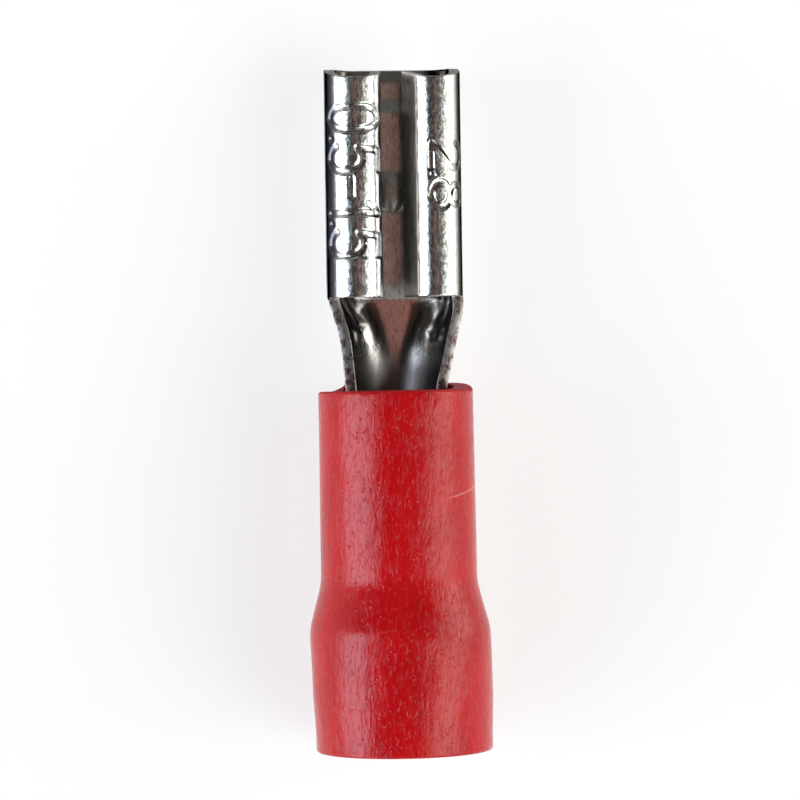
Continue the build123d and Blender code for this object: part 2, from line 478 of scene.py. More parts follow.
figures = {
    "0": (0.62, [arc(0.31, 0.50, 0.31, 0.50, 0, 360, 28)]),
    "1": (0.30, [[(0.0, 0.76), (0.24, 1.0), (0.24, 0.0)]]),
    "2": (0.62, [arc(0.31, 0.70, 0.30, 0.30, 165, -30) + [(0.0, 0.0), (0.62, 0.0)]]),
    "5": (0.62, [[(0.58, 1.0), (0.10, 1.0), (0.04, 0.56)] + arc(0.29, 0.32, 0.33, 0.32, 128, -150)]),
    "8": (0.60, [arc(0.30, 0.76, 0.24, 0.24, 0, 360, 22), arc(0.30, 0.26, 0.30, 0.26, 0, 360, 24)]),
    "-": (0.44, [[(0.0, 0.45), (0.44, 0.45)]]),
    ".": (0.04, [[(0.02, 0.02), (0.03, 0.04)]]),
}


def line_of(text, height, width, space):
    """Strokes of a line of figures, from (0, 0) on, and how long the line is."""
    strokes, start = [], 0.0
    for character in text:
        size, paths = figures[character]
        for path in paths:
            strokes += [
                ((start + x0 * width, y0 * height), (start + x1 * width, y1 * height))
                for (x0, y0), (x1, y1) in zip(path, path[1:])
            ]
        start += size * width + space
    return np.array(strokes), start - space


def distance_to(points, strokes):
    """Distance of each point from the nearest stroke."""
    nearest = np.full(len(points), 1.0)
    for start, end in strokes:
        run = end - start
        share = np.clip((points - start) @ run / (run @ run + 1e-18), 0, 1)
        nearest = np.minimum(nearest, np.linalg.norm(points - start - share[:, None] * run, axis=1))
    return nearest


print("figures:", " ".join(figures))

# %% [markdown]
# ## Stamping
#
# For every point of the outer skin the nearest stroke is found, and the point is pushed in
# where the stroke is near. That gives real grooves with soft shoulders, which catch the
# light as stamped ones do. The outer skin still has the first numbers in the mesh, because
# Solidify adds the inner skin after it.

# %% Stamp the rolls
stroke_half, stamp_depth, shoulder = 0.06 * mm, 0.050 * mm, 0.05 * mm
big_height, big_width, big_space = 1.62 * mm, 1.12 * mm, 0.20 * mm
small_height, small_width, small_space = 1.05 * mm, 1.15 * mm, 0.17 * mm
big_foot = crest - 0.90 * mm
small_foot = crest + 0.10 * mm
small_start = 2.14 * mm
field_depth = 0.015 * mm
far_off = 1.0
place, station = blank[:, 0], blank[:, 1]
in_field = (abs(place) > wall_top) & (station > field_start) & (station < field_end)
left, right = in_field & (place < 0), in_field & (place > 0)
relief = np.zeros(len(blank))
from_rim = np.full(len(blank), far_off)


def stamp(chosen, start, foot, strokes):
    """Notes how deep the strokes press each chosen point in, and how far it is from a rim."""
    spots = np.column_stack((station[chosen] - start, foot))
    away = distance_to(spots, strokes)
    relief[chosen] -= stamp_depth * (1 - smooth(away, stroke_half, stroke_half + shoulder))
    from_rim[chosen] = abs(away - stroke_half - shoulder / 2) / mm


big_line, big_length = line_of("0.5-1.5", big_height, big_width, big_space)
big_start = (field_start + field_end - big_length) / 2
relief[left] = -field_depth
stamp(left, big_start, -place[left] - big_foot, big_line)
small_line, small_length = line_of("2.8", small_height, small_width, small_space)
stamp(right, small_start, small_foot - place[right], small_line)
for index in np.nonzero(relief)[0]:
    contact.data.vertices[index].co += Vector(outward[index] * relief[index])
contact.data.update()
print("figures", round(big_length / mm, 2), "and", round(small_length / mm, 2), "mm long")

# %% [markdown]
# ## Where the strip is worn, and where shade is painted
#
# The finish has to know places that no pattern could guess, so the mesh keeps six numbers
# for each point. On the outer skin they say how far it is from the rim of a figure, where
# a roll turns in and where its flank is, and how near it is to a roll's worn crest. Shade
# is painted along the rims, where a roll turns in and on its flank. On the inner skin they
# mark the two hollows of the neck, which get painted shade, and the scuffed floor of the
# receptacle.

# %% Keep the wear and where shade is painted
turn_in_shade_left, turn_in_shade_right = (0.70 * mm, 1.00 * mm), (0.52 * mm, 0.75 * mm)
flank_shade_left, flank_shade_right = (0.46 * mm, 0.84 * mm), (0.62 * mm, 0.82 * mm)
stripe_half, stripe_loss = 0.50 * mm, 0.36 * mm
hollow_shade_half, hollow_shade_loss = 1.00 * mm, 0.45 * mm
narrowing_length = 1.6 * mm
scuffed_half = 1.2 * mm


def keep(name, values, elsewhere=0.0, inner=False):
    """Keeps a number for each point of the outer skin, or of the inner one, as an attribute."""
    padded = np.full(len(contact.data.vertices), elsewhere)
    first = len(values) * inner
    padded[first:first + len(values)] = values
    contact.data.attributes.new(name, "FLOAT", "POINT").data.foreach_set("value", padded)


from_crest = abs(place) - crest
# Where a roll turns in: painted shade in its colour, and real wear in its roughness.
turned_in_wear_and_shade = np.where(
    place < 0, smooth(from_crest, *turn_in_shade_left), 0.5 * smooth(from_crest, *turn_in_shade_right))
# Painted shade on the flanks of the rolls, which stands in for the dark that they reflect.
painted_flank_shade = np.where(
    place < 0, smooth(-from_crest, *flank_shade_left), smooth(-from_crest, *flank_shade_right))
painted_flank_shade *= 1 - 0.5 * smooth(-from_crest, 1.15 * mm, 1.50 * mm)
painted_flank_shade *= smooth(abs(place), 1.2 * mm, 1.9 * mm)
on_crest = 1 - smooth(abs(from_crest), 0.20 * mm, 0.80 * mm)
in_receptacle = station < receptacle_length + 0.001 * mm
near_receptacle = station < receptacle_length + 0.3 * mm
down_neck = np.clip((station - receptacle_length) / narrowing_length, 0, 1)
# Painted shade in the two hollows of the neck, beside its middle stripe.
from_stripe = abs(place) - (stripe_half - stripe_loss * down_neck)
from_wall = hollow_shade_half - hollow_shade_loss * down_neck - abs(place)
hollow_shade = smooth(from_stripe, 0, 0.14 * mm) * smooth(from_wall, -0.16 * mm, 0)
hollow_shade *= smooth(station, receptacle_length, receptacle_length + 0.2 * mm)
hollow_shade *= 1 - smooth(station, 8.2 * mm, 8.9 * mm)

keep("rim_of_figure", from_rim, far_off)
keep("turned_in_wear_and_shade", turned_in_wear_and_shade * near_receptacle)
keep("flank_shade", painted_flank_shade * near_receptacle)
keep("crest", on_crest * in_receptacle)
keep("hollow_shade", hollow_shade, inner=True)
keep("floor", (abs(place) < scuffed_half) * (station < receptacle_length), inner=True)
contact.data.update()
print("kept for each point:", [name for name in contact.data.attributes.keys() if "." not in name])

# %% [markdown]
# ## Rounded edges
#
# No sheared edge is razor sharp: the die rolls it over by a few hundredths of a
# millimetre, and that thin round is the bright line along every edge of the real part. A
# Bevel limited to sharp corners finds exactly those edges. Smooth shading by angle then
# keeps the flats flat.

# %% Ease the edges and shade
edge_round = contact.modifiers.new("edge_round", "BEVEL")
edge_round.width = 0.022 * mm
edge_round.segments = 2
edge_round.limit_method = "ANGLE"
edge_round.angle_limit = math.radians(58)
edge_round.use_clamp_overlap = False
bpy.ops.object.modifier_apply(modifier=edge_round.name)
bpy.ops.object.shade_smooth_by_angle(angle=math.radians(50))
contact.vertex_groups.clear()
contact.data.calc_loop_triangles()
print("finished contact:", len(contact.data.loop_triangles), "triangles")

# %% [markdown]
# ## Round sleeves
#
# Both sleeves are bodies of revolution, so each is spun from half of its section. The
# section is drawn by extruding one vertex from corner to corner, and its corners are
# rounded with arcs, as in the real tools. The wall is already in the section, so the spun
# shell needs no modifier. Doubles are merged where the spin closes on itself, and the
# normals are recalculated after that.

# %% Draw a section and spin it


def rounded(corners, radius, count=6):
    """An open line of (y, r) points whose inner corners are rounded by arcs of that radius."""
    points = [np.array(corners[0])]
    for before, corner, after in zip(corners, corners[1:], corners[2:]):
        before, corner, after = map(np.array, (before, corner, after))
        way_in = (corner - before) / np.linalg.norm(corner - before)
        way_out = (after - corner) / np.linalg.norm(after - corner)
        turn = math.acos(np.clip(way_in @ way_out, -1, 1))
        tangent = radius * math.tan(turn / 2)
        start, end = corner - way_in * tangent, corner + way_out * tangent
        for share in np.linspace(0, 1, count):
            points.append((1 - share) ** 2 * start + 2 * share * (1 - share) * corner + share ** 2 * end)
    return points + [np.array(corners[-1])]


def spun(name, outline, steps):
    """A closed body of revolution about the sleeve axis, from a closed outline of (y, r) points."""
    bpy.ops.object.select_all(action="DESELECT")
    bpy.ops.mesh.primitive_plane_add(size=mm, location=(0, 0, 0))
    body = bpy.context.object
    body.name = name
    bpy.ops.object.mode_set(mode="EDIT")
    bpy.ops.mesh.select_mode(type="VERT")
    bpy.ops.mesh.select_all(action="SELECT")
    bpy.ops.mesh.merge(type="CENTER")
    bpy.ops.transform.translate(value=(0, outline[0][0], axis_z + outline[0][1]))
    for before, after in zip(outline, outline[1:]):
        shift = (0, after[0] - before[0], after[1] - before[1])
        bpy.ops.mesh.extrude_vertices_move(TRANSFORM_OT_translate={"value": shift})
    bpy.ops.mesh.select_all(action="SELECT")
    bpy.ops.mesh.spin(steps=steps, angle=2 * math.pi, center=(0, 0, axis_z), axis=(0, 1, 0))
    bpy.ops.mesh.select_all(action="SELECT")
    bpy.ops.mesh.remove_doubles(threshold=0.002 * mm)
    bpy.ops.mesh.normals_make_consistent(inside=False)
    bpy.ops.object.mode_set(mode="OBJECT")
    print(name, "has", len(body.data.polygons), "faces")
    return body


# %% [markdown]
# ## The drawn brass sleeve
#
# A thin tube that is pressed over the barrel and flares behind it to take the insulation
# of the wire. Its wall has one thickness all along, so the outside is the bore's line
# moved out by the wall. It can only be seen through the two mouths of the vinyl.

# %% Spin the drawn sleeve
drawn_wall = 0.20 * mm
press_clearance = 0.02 * mm
flare_bore = drawn_high.x - drawn_wall
barrel_bore = outer_radius + press_clearance
sleeve_mouth_y = vinyl_high.y
flare_front = sleeve_mouth_y - 5.35 * mm
flare_back = flare_front - 1.15 * mm
drawn_bend = 1.50 * mm


def sleeve_line(front, back, growth):
    """The line of the drawn sleeve's bore, moved out by growth."""
    return rounded([
        (front, barrel_bore + growth),
        (flare_front, barrel_bore + growth),
        (flare_back, flare_bore + growth),
        (back, flare_bore + growth),
    ], drawn_bend)


inside = sleeve_line(drawn_high.y, drawn_low.y, 0)
outside = sleeve_line(drawn_high.y, drawn_low.y, drawn_wall)
drawn_sleeve = spun("drawn_sleeve", inside + outside[::-1] + inside[:1], 96)

# %% [markdown]
# ## The vinyl sleeve
#
# Soft vinyl is moulded round the flared brass, so its outside steps up over the flare in a
# soft shoulder. It is spun like the drawn sleeve, from an outside with wide bends and a
# bore that stays just clear of the brass. The long stretches of its outside are divided,
# so that the next step has points to move.

# %% Spin the vinyl sleeve
mouth_radius, waist_radius = 2.15 * mm, 2.18 * mm
bell_radius, rear_radius = vinyl_high.x, 2.45 * mm
straight_end = sleeve_mouth_y - 0.6 * mm
shoulder_front = sleeve_mouth_y - 5.30 * mm
shoulder_back = shoulder_front - 1.30 * mm
taper_start = vinyl_low.y + 1.60 * mm
taper_end = vinyl_low.y + 0.5 * mm
rim_radius, vinyl_bend = 0.11 * mm, 2.2 * mm
vinyl_clearance = 0.02 * mm
longest_step = 0.16 * mm

skin = rounded([
    (sleeve_mouth_y, mouth_radius - rim_radius),
    (sleeve_mouth_y, mouth_radius),
    (straight_end, mouth_radius),
], rim_radius)[:-1]
barrel_side = rounded([
    (straight_end, mouth_radius),
    (shoulder_front, waist_radius),
    (shoulder_back, bell_radius),
    (taper_start, bell_radius),
    (taper_end, rear_radius),
], vinyl_bend, 9)
rear = rounded([
    (taper_end, rear_radius),
    (vinyl_low.y, rear_radius),
    (vinyl_low.y, rear_radius - rim_radius),
], rim_radius)[1:]


def divided(points, step):
    """The same line, with no stretch longer than step."""
    line = [points[0]]
    for point in points[1:]:
        count = max(1, math.ceil(np.linalg.norm(point - line[-1]) / step))
        start = line[-1]
        line += [start + (point - start) * share for share in np.linspace(0, 1, count + 1)[1:]]
    return line


skin = skin + divided(barrel_side, longest_step) + rear
bore = sleeve_line(sleeve_mouth_y, vinyl_low.y, drawn_wall + vinyl_clearance)
vinyl_sleeve = spun("vinyl_sleeve", skin + bore[::-1] + skin[:1], 144)

# %% [markdown]
# ## Lumps of the vinyl
#
# The spun shape alone looks machined. Its points are moved by a slow noise that is
# strongest at the shoulder, the front end is cut a little askew, and the far end leans a
# little to one side, as in the photograph. The bore stays round, because it lies on the
# brass. The noise depends on place alone, so it is the same at every run.

# %% Lumps, askew mouth and leaning end
lump_size, lump_height = 1.5 * mm, 0.035 * mm
lumps_everywhere, lumps_at_shoulder = 0.30, 1.1
shoulder_middle = (shoulder_front + shoulder_back) / 2
lumpiest_y, lumpy_reach = shoulder_middle - 0.3 * mm, 1.1 * mm
slim_bore_edge, skin_depth = 1.7 * mm, 0.3 * mm
lean_aside, cut_askew = 0.07 * mm, 0.19 * mm
seed_shift = Vector((3.1, 7.7, 1.9))
for vertex in vinyl_sleeve.data.vertices:
    x, y, z = vertex.co.x, vertex.co.y, vertex.co.z - axis_z
    radius = math.hypot(x, z)
    bore_edge = drawn_high.x if y < shoulder_middle else slim_bore_edge
    on_skin = smooth(radius - bore_edge, 0, skin_depth)
    near_shoulder = math.exp(-((y - lumpiest_y) / lumpy_reach) ** 2)
    value = noise.noise(Vector((x, 0.6 * y, z)) / lump_size + seed_shift)
    swell = lump_height * value * (lumps_everywhere + lumps_at_shoulder * near_shoulder) * on_skin
    factor = (radius + swell) / radius
    sideways = lean_aside * smooth(-y, 5.0 * mm, 9.5 * mm) * on_skin
    askew = cut_askew * smooth(-z / mouth_radius, -0.5, 0.5) * smooth(x / mouth_radius, -0.67, -0.59)
    askew *= smooth(y, -0.9 * mm, 0.45 * mm)
    vertex.co = (x * factor + sideways, y + askew, axis_z + z * factor)
vinyl_sleeve.data.update()
for sleeve in (vinyl_sleeve, drawn_sleeve):
    bpy.ops.object.select_all(action="DESELECT")
    sleeve.select_set(True)
    bpy.context.view_layer.objects.active = sleeve
    bpy.ops.object.shade_smooth_by_angle(angle=math.radians(40))
widest = max(vertex.co.x for vertex in vinyl_sleeve.data.vertices)
print("vinyl now reaches", round(widest / mm, 3), "mm to the right")

# %% [markdown]
# ## Finishes
#
# Every finish is made of nodes on Object coordinates, so that it stays on the piece
# wherever the piece goes. The pieces are only millimetres large and lengths here are in
# metres, so a Mapping node first turns places into millimetres, and every pattern below
# is given in millimetres too. Small functions keep the node code short: one puts a node,
# and the others make noise, soft steps, blends, sums and relief with it.

# %% Helpers for nodes


def open_material(name):
    """The named material with an empty tree but for its shader and output, and the tree's nodes."""
    material = bpy.data.materials.get(name) or bpy.data.materials.new(name)
    material.use_nodes = True
    tree = material.node_tree
    tree.nodes.clear()
    shader = tree.nodes.new("ShaderNodeBsdfPrincipled")
    output = tree.nodes.new("ShaderNodeOutputMaterial")
    tree.links.new(shader.outputs[0], output.inputs["Surface"])
    return material, tree, shader


def put(tree, kind, inputs=None, **settings):
    """A node of that kind. Inputs are values or the sockets of other nodes, by name or number."""
    node = tree.nodes.new("ShaderNode" + kind)
    for name, value in settings.items():
        setattr(node, name, value)
    for key, value in (inputs or {}).items():
        if isinstance(value, bpy.types.NodeSocket):
            tree.links.new(value, node.inputs[key])
        else:
            node.inputs[key].default_value = value
    return node


def reckon(tree, operation, *values):
    """The result of a Math node, from values or the sockets of other nodes."""
    return put(tree, "Math", dict(enumerate(values)), operation=operation).outputs[0]


def noted(tree, name):
    """The number that the mesh keeps for each point under that name."""
    return put(tree, "Attribute", attribute_name=name).outputs["Fac"]


# %% Helpers for patterns


def millimetres(tree, stretch=(1, 1, 1)):
    """Places on the piece in millimetres, stretched along each axis."""
    place = put(tree, "TexCoord")
    scale = tuple(value / mm for value in stretch)
    return put(tree, "Mapping", {"Vector": place.outputs["Object"], "Scale": scale}).outputs[0]


def grain(tree, stretch, size, detail=3.0, roughness=0.55, distortion=0.0):
    """Noise whose cells are about 1 / size millimetres, drawn out along the axes with a small stretch."""
    return put(tree, "TexNoise", {
        "Vector": millimetres(tree, stretch), "Scale": size, "Detail": detail,
        "Roughness": roughness, "Distortion": distortion}).outputs[0]


def ramp(tree, value, low, high, start=0.0, end=1.0):
    """Maps low..high of a value to start..end, with soft ends."""
    return put(tree, "MapRange", {
        "Value": value, "From Min": low, "From Max": high, "To Min": start, "To Max": end},
        interpolation_type="SMOOTHSTEP").outputs[0]


def blend(tree, share, first, second):
    """Colour between two colours, or between the sockets of two others."""
    mixer = put(tree, "Mix", {"Factor": share}, data_type="RGBA")
    for socket, value in ((mixer.inputs[6], first), (mixer.inputs[7], second)):
        if isinstance(value, bpy.types.NodeSocket):
            tree.links.new(value, socket)
        else:
            socket.default_value = (*value, 1)
    return mixer.outputs[2]


def relief_of(tree, heights):
    """Normal from several (height, depth in millimetres) patterns, one after another."""
    normal = None
    for height, depth in heights:
        inputs = {"Height": height, "Distance": depth * mm, "Strength": 1.0}
        if normal is not None:
            inputs["Normal"] = normal
        normal = put(tree, "Bump", inputs).outputs[0]
    return normal


# %% [markdown]
# ## Tin plate
#
# Bright tin is a nearly white mirror that has been through rollers and dies. Long fine
# lines follow the strip, grey specks and dull patches come from handling, and tiny pits
# sit all over. The crests of the rolls are worn grey, the floor is scuffed, the far end of
# the neck is dull and the rolls are rougher where they turn in. Shade is painted into the
# colour: nearly black on the flanks of the rolls, bluish on the left and warm on the right,
# paler where the rolls turn in, and dark along the rims of the figures, in the hollows of
# the neck, over its far end and on the lower corners of the nose. A near-black edge tint
# paints dark reflections at grazing angles. The numbers kept by the mesh say where most of
# this is, and the place along the strip says the rest. The lines and pits are too fine for
# the mesh, so they are bump and roughness, and a slow waviness bends the edges of the
# reflections as it does on thin sheet.

# %% Patterns and places of the tin plate
tin, tree, shader = open_material("tin_plate")
lines = grain(tree, (16, 0.8, 16), 1.0, 4.0, 0.6)
patches = grain(tree, (1, 0.6, 1), 2.2, 3.0, 0.6)
pits = grain(tree, (1, 0.7, 1), 13.0, 2.0, 0.7)
mottle = grain(tree, (1, 0.55, 1), 9.0, 3.0, 0.7)
waves = grain(tree, (1, 0.45, 1), 1.6, 1.0, 0.4)
speckle = grain(tree, (7, 2.0, 7), 2.4, 4.0, 0.75)
grit = grain(tree, (1, 0.45, 1), 13.0, 3.0, 0.65)
figure_rim_shade, flank_shade, turned_in_wear_and_shade = noted(tree, "rim_of_figure"), noted(tree, "flank_shade"), noted(tree, "turned_in_wear_and_shade")
hollow_shade, floor_scuff, crest_wear = noted(tree, "hollow_shade"), noted(tree, "floor"), noted(tree, "crest")
spot = put(tree, "SeparateXYZ", {0: millimetres(tree)}).outputs
off_middle = reckon(tree, "ABSOLUTE", spot["X"])
# The far end of the neck is rougher, which is real, and darker, which is painted shade.
neck_end_dull_and_shade = ramp(tree, spot["Y"], 0.9, 2.1, 1.0, 0.0)
# Where shade is painted on the lower corners of the nose.
on_nose = ramp(tree, spot["Y"], 9.10, 9.20)
nose_corner_shade = reckon(tree, "MULTIPLY", on_nose, ramp(tree, spot["Z"], 1.75, 2.0, 1.0, 0.0))
print(tin.name, "starts from", len(tree.nodes), "nodes")

# %% Colour of the tin plate
shader.inputs["Metallic"].default_value = 1.0
# The near-black edge tint is painted shade in the reflections: at grazing angles the tin reflects dark,
# which outlines the rolls.
shader.inputs["Specular Tint"].default_value = (0.11, 0.11, 0.115, 1)
colour = blend(tree, ramp(tree, patches, 0.50, 0.74), (0.86, 0.845, 0.82), (0.68, 0.655, 0.62))
colour = blend(tree, ramp(tree, speckle, 0.44, 0.66, 0.0, 0.62), colour, (0.34, 0.32, 0.295))
worn = blend(tree, ramp(tree, grit, 0.42, 0.58), (0.76, 0.785, 0.765), (0.34, 0.36, 0.345))
colour = blend(tree, ramp(tree, crest_wear, 0.45, 0.95), colour, worn)
# Painted shade: the flanks of the rolls are nearly black, bluish on the left and warm on the right.
flank_shade_colour = blend(tree, ramp(tree, spot["X"], -1.0, 1.0), (0.068, 0.070, 0.082), (0.15, 0.148, 0.128))
colour = blend(tree, flank_shade, colour, flank_shade_colour)
# Painted shade, paler than on the flanks, where the rolls turn in.
colour = blend(tree, turned_in_wear_and_shade, colour, (0.46, 0.45, 0.41))
# Painted shade in the hollows of the neck.
colour = blend(tree, hollow_shade, colour, (0.16, 0.15, 0.145))
# Painted shade over the far end of the neck, near the vinyl.
colour = blend(tree, neck_end_dull_and_shade, colour, (0.20, 0.195, 0.19))
# Painted shade: the lower corners of the nose go nearly black, darkest at the sides.
nose_shade_colour = blend(tree, ramp(tree, off_middle, 0.9, 1.3), (0.50, 0.46, 0.41), (0.030, 0.026, 0.022))
colour = blend(tree, nose_corner_shade, colour, nose_shade_colour)
# Painted shade: a dark line along the rims of the stamped figures.
colour = blend(tree, ramp(tree, figure_rim_shade, 0.006, 0.022, 0.85, 0.0), colour, (0.13, 0.10, 0.085))
tree.links.new(colour, shader.inputs["Base Color"])
print(tin.name, "has", len(tree.nodes), "nodes with its colour")

# %% Roughness and relief of the tin plate
rough = ramp(tree, lines, 0.30, 0.75, 0.09, 0.17)
for wear, added in ((crest_wear, 0.12), (turned_in_wear_and_shade, 0.22), (neck_end_dull_and_shade, 0.26), (floor_scuff, 0.18)):
    rough = reckon(tree, "MULTIPLY_ADD", wear, added, rough)
tree.links.new(rough, shader.inputs["Roughness"])
worn_relief = reckon(tree, "MULTIPLY", grit, crest_wear)
tree.links.new(
    relief_of(tree, [
        (waves, 0.020), (mottle, 0.0022), (lines, 0.0016),
        (ramp(tree, pits, 0.58, 0.76), 0.0014), (worn_relief, 0.0055)]),
    shader.inputs["Normal"])
print(tin.name, "has", len(tree.nodes), "nodes in all")

# %% [markdown]
# ## Bare brass on the sheared edges
#
# A sheared edge shows the bare brass, torn and smeared with tin, so it is duller, darker
# and mottled, with a few bright specks. The nose was cut first and has tarnished brown, so
# the tarnish comes in along the strip.

# %% Make the sheared edge
sheared, tree, shader = open_material("sheared_edge")
smears = grain(tree, (1, 0.6, 1), 5.0, 4.0, 0.65)
tears = grain(tree, (1, 1, 1), 16.0, 3.0, 0.6)
shader.inputs["Metallic"].default_value = 1.0
along_strip = put(tree, "SeparateXYZ", {0: millimetres(tree)}).outputs["Y"]
colour = blend(tree, ramp(tree, smears, 0.45, 0.60), (0.50, 0.485, 0.47), (0.14, 0.090, 0.078))
colour = blend(tree, ramp(tree, tears, 0.58, 0.74), colour, (0.70, 0.68, 0.65))
tarnish = ramp(tree, along_strip, 7.5, 8.3)
tree.links.new(blend(tree, tarnish, colour, (0.085, 0.066, 0.052)), shader.inputs["Base Color"])
tree.links.new(ramp(tree, tears, 0.35, 0.70, 0.46, 0.28), shader.inputs["Roughness"])
tree.links.new(relief_of(tree, [(tears, 0.012), (smears, 0.010)]), shader.inputs["Normal"])
print(sheared.name, "has", len(tree.nodes), "nodes")

# %% [markdown]
# ## Drawn brass
#
# The hidden sleeve is bare brass, drawn through a die, with fine lines along its length.
# It only shows as a dark golden ring in the mouths of the vinyl, so two patterns are enough.

# %% Make the drawn brass
brass, tree, shader = open_material("drawn_brass")
lines = grain(tree, (14, 0.5, 14), 1.0, 3.0)
stains = grain(tree, (1, 0.5, 1), 1.4, 3.0)
shader.inputs["Metallic"].default_value = 1.0
tree.links.new(
    blend(tree, ramp(tree, stains, 0.40, 0.70), (0.80, 0.62, 0.32), (0.55, 0.38, 0.17)),
    shader.inputs["Base Color"])
tree.links.new(ramp(tree, lines, 0.3, 0.7, 0.18, 0.34), shader.inputs["Roughness"])
tree.links.new(relief_of(tree, [(lines, 0.0015)]), shader.inputs["Normal"])
drawn_sleeve.data.materials.append(brass)
print(brass.name, "has", len(tree.nodes), "nodes")

# %% [markdown]
# ## Red vinyl
#
# The vinyl is a saturated red with a soft satin skin. Handling has left many short, pale
# scuffs, mostly along the sleeve, and small pits. One fine pattern makes the scuffs paler,
# rougher and a little raised, and a coarser one adds longer and fainter streaks. The cut
# front end is matt.

# %% Colour of the red vinyl
vinyl, tree, shader = open_material("red_vinyl")
shader.inputs["IOR"].default_value = 1.37
streaks = grain(tree, (3.2, 0.95, 3.2), 1.5, 4.0, 0.62, 0.8)
fine = grain(tree, (5.4, 1.8, 5.4), 2.6, 4.0, 0.65, 0.6)
cloudy = grain(tree, (1, 0.6, 1), 0.9, 3.0, 0.5)
pits = grain(tree, (1, 0.8, 1), 6.5, 2.0, 0.6)
red = blend(tree, ramp(tree, cloudy, 0.35, 0.65), (0.45, 0.0032, 0.0052), (0.52, 0.0045, 0.0068))
red = blend(tree, ramp(tree, streaks, 0.50, 0.72, 0.0, 0.50), red, (0.45, 0.024, 0.032))
red = blend(tree, ramp(tree, fine, 0.60, 0.76, 0.0, 0.45), red, (0.54, 0.105, 0.115))
print(vinyl.name, "starts from", len(tree.nodes), "nodes")

# %% [markdown]
# ## The hair on the vinyl
#
# A fine hair lies across the right side. It has no thickness that could be seen, so it is
# only colour: a thin line along a curve that bows along the sleeve as it goes outwards,
# faded out near the top and low on the side.

# %% Draw the hair and finish the vinyl
hair_start_x, hair_start_y = 1.15, -2.46
hair_bow, hair_bend = 0.30, 1.7
spot = put(tree, "SeparateXYZ", {0: millimetres(tree)}).outputs
bow = reckon(tree, "ADD", spot["X"], -hair_start_x)
bow = reckon(tree, "POWER", bow, hair_bend)
bow = reckon(tree, "MULTIPLY_ADD", bow, hair_bow, hair_start_y)
off_hair = reckon(tree, "ABSOLUTE", reckon(tree, "SUBTRACT", spot["Y"], bow))
hair = ramp(tree, off_hair, 0.010, 0.026, 0.75, 0.0)
for edges, socket in (((1.18, 1.50), "X"), ((2.4, 2.9), "Z")):
    hair = reckon(tree, "MULTIPLY", hair, ramp(tree, spot[socket], *edges))
tree.links.new(blend(tree, hair, red, (0.66, 0.27, 0.24)), shader.inputs["Base Color"])
cut_end = ramp(tree, spot["Y"], 0.40, 0.47, 0.0, 0.45)
satin = ramp(tree, fine, 0.35, 0.72, 0.12, 0.30)
tree.links.new(reckon(tree, "ADD", satin, cut_end), shader.inputs["Roughness"])
tree.links.new(
    relief_of(tree, [
        (cloudy, 0.04), (streaks, 0.024), (ramp(tree, fine, 0.56, 0.72), 0.005),
        (ramp(tree, pits, 0.60, 0.72), -0.009)]),
    shader.inputs["Normal"])
vinyl_sleeve.data.materials.append(vinyl)
print(vinyl.name, "has", len(tree.nodes), "nodes in all")

# %% [markdown]
# ## Tie the pieces to the frame
#
# Each finished piece rides on the one body and takes the place of its node, which is hidden.

# %% Ride and replace
for piece, node, slot_name in (
    (contact, "contact", "tin_plated_brass"),
    (drawn_sleeve, "support_sleeve", "bare_brass"),
    (vinyl_sleeve, "insulating_sleeve", "red_vinyl"),
):
    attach(piece, "root")
    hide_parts(node)
print("pieces:", [piece.name for piece in (contact, drawn_sleeve, vinyl_sleeve)])

# %% [markdown]
# ## Floor
#
# The floor is a plain, pale sheet of paper that keeps the soft shadow. A glow of its own
# brings it close to white. Only the camera and the rays that metal and glass reflect or
# let through see that glow, so it neither lights the object nor fills the shadow.

# %% Make the floor
floor_size = 0.8
paper_glow = 0.68
bpy.ops.object.select_all(action="DESELECT")
bpy.ops.mesh.primitive_plane_add(size=floor_size, location=(0, 0, -0.01 * mm))
floor = bpy.context.object
floor.name = "floor"
paper, tree, shader = open_material("floor_paper")
shader.inputs["Base Color"].default_value = (0.36, 0.36, 0.36, 1)
shader.inputs["Roughness"].default_value = 0.9
shader.inputs["Specular IOR Level"].default_value = 0.0
shader.inputs["Emission Color"].default_value = (1, 1, 1, 1)
rays = put(tree, "LightPath").outputs
seen = reckon(tree, "MAXIMUM", rays["Is Camera Ray"], rays["Is Glossy Ray"])
seen = reckon(tree, "MAXIMUM", seen, rays["Is Transmission Ray"])
tree.links.new(reckon(tree, "MULTIPLY", seen, paper_glow), shader.inputs["Emission Strength"])
floor.data.materials.append(paper)
floor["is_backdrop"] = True
print("floor", floor_size, "m wide, glow", paper_glow)

# %% [markdown]
# ## Sky of soft boxes
#
# A shiny part shows its surroundings more than itself, so the surroundings are the light.
# The world is a sky that depends on direction only, and everything in it is a smooth step
# between two angles: one is the angle round the terminal's length, the other the angle
# along it. There is one wide soft box on each side, low enough to meet the floor. The left
# one is cooler and brighter, both stand a little askew to the terminal, and the gap
# between them is wider ahead of it.

# %% Angles of the sky
skew = 2.3
askew_from, askew_middle, askew_to = -0.12, 0.07, 0.10
world = bpy.data.worlds.new("studio")
bpy.context.scene.world = world
world.use_nodes = True
tree = world.node_tree
tree.nodes.clear()
direction = put(tree, "SeparateXYZ", {0: put(tree, "TexCoord").outputs["Generated"]}).outputs
round_y = reckon(tree, "ARCTAN2", direction["X"], direction["Z"])
along_y = reckon(tree, "ARCSINE", direction["Y"])
near_middle = put(tree, "Clamp", {0: along_y, 1: askew_from, 2: askew_to}).outputs[0]
slip = reckon(tree, "MULTIPLY_ADD", near_middle, -skew, askew_middle * skew)
skewed = reckon(tree, "ADD", round_y, slip)


def times(first, second):
    """The product of two shares of the sky."""
    return reckon(tree, "MULTIPLY", first, second)


def between(angle, edges):
    """1 between the two inner edges and 0 beyond the two outer ones."""
    start, full, fade, end = edges
    return times(ramp(tree, angle, start, full), ramp(tree, angle, fade, end, 1.0, 0.0))


